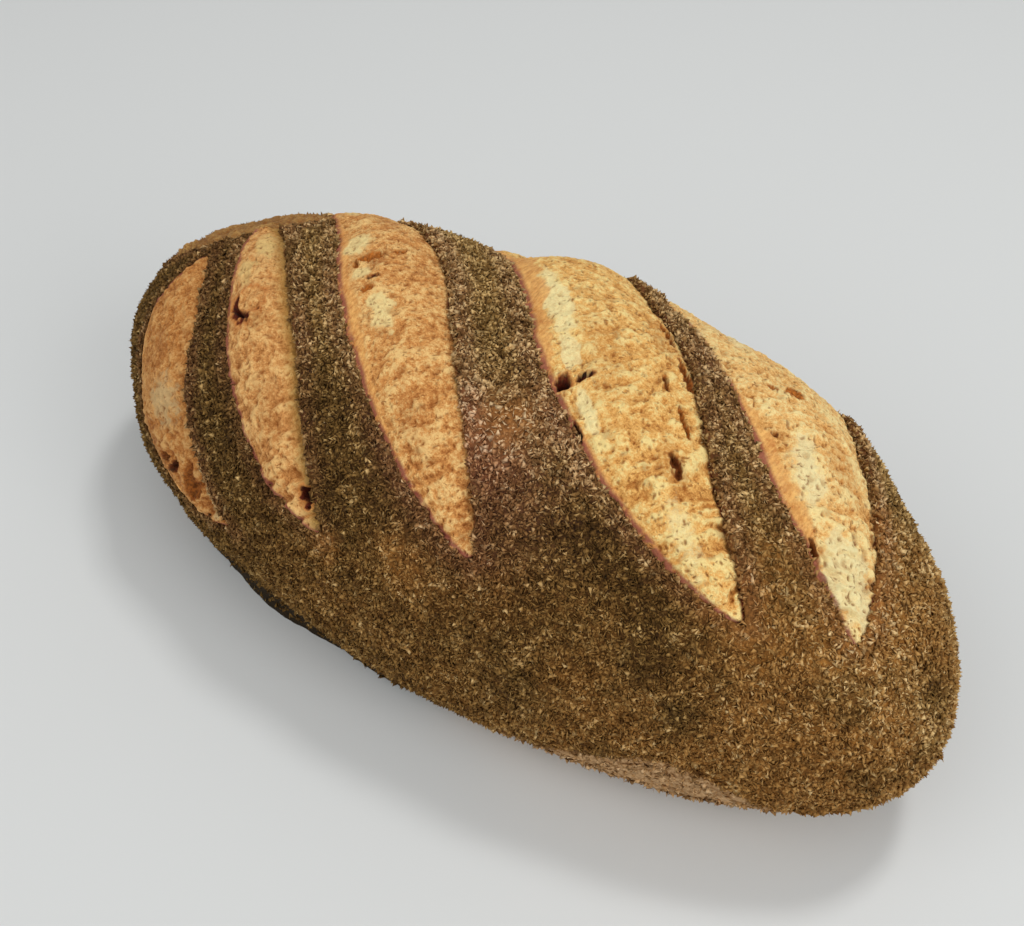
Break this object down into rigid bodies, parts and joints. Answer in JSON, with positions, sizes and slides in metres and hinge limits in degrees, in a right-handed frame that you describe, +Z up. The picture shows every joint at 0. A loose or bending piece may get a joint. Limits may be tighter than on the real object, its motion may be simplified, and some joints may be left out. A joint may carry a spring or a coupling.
{
  "type": "sourdough loaf",
  "caption": "Long oval sourdough loaf on a flat base, with a rough bran-coated crust cut by parallel diagonal slashes whose pale, bulging blooms stand open",
  "frame": {"origin": "middle of the loaf's box at its flat base", "axes": "+X runs along the loaf to its fuller end, +Y runs across it to the side the slashes start from, +Z is up"},
  "size_m": [0.3, 0.1456, 0.1073],
  "materials": {
    "loaf": "dark baked crust, coated in bran flakes, matte and rough, with golden to cream blooms in the slashes"
  },
  "bodies": {
    "root": {"loaf": "loaf"}
  },
  "joints": []
}
